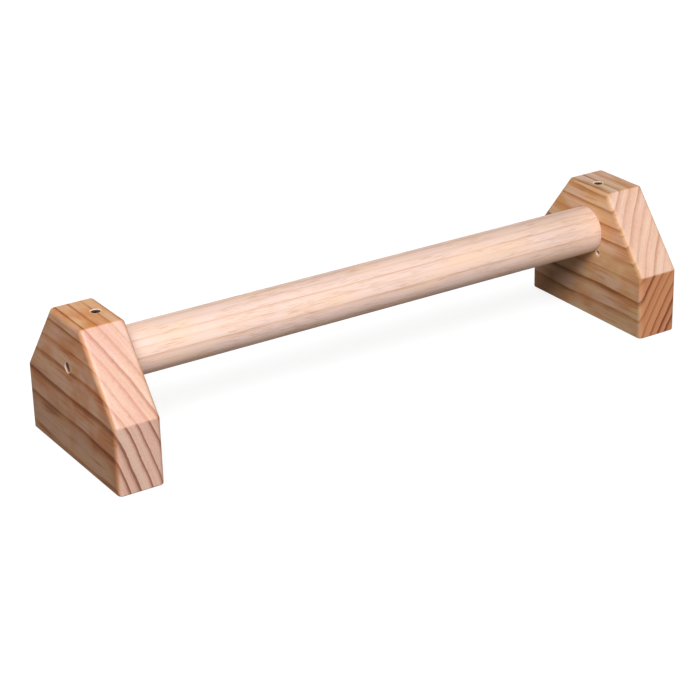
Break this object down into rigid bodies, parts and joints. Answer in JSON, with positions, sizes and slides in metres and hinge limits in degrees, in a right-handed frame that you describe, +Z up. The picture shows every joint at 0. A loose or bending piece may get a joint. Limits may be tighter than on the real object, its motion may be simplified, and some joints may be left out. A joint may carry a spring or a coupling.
{
  "type": "push-up stand",
  "caption": "Low wooden push-up stand: a round grip bar held in sockets between thick end blocks with sloped shoulders, free-standing on the floor.",
  "frame": {"origin": "on the floor, midway between the blocks and under the middle of the bar", "axes": "+X along the grip bar towards the right block, -Y the front, +Z up"},
  "size_m": [0.5, 0.14, 0.11],
  "materials": {
    "block_pine": "satin varnish",
    "bar_pine": "smooth sanded",
    "screw_steel": "black phosphate"
  },
  "bodies": {
    "root": {"left_block": "block_pine", "right_block": "block_pine", "grip_bar": "bar_pine", "left_side_screw": "screw_steel", "right_side_screw": "screw_steel", "left_top_screw": "screw_steel", "right_top_screw": "screw_steel"}
  },
  "joints": []
}
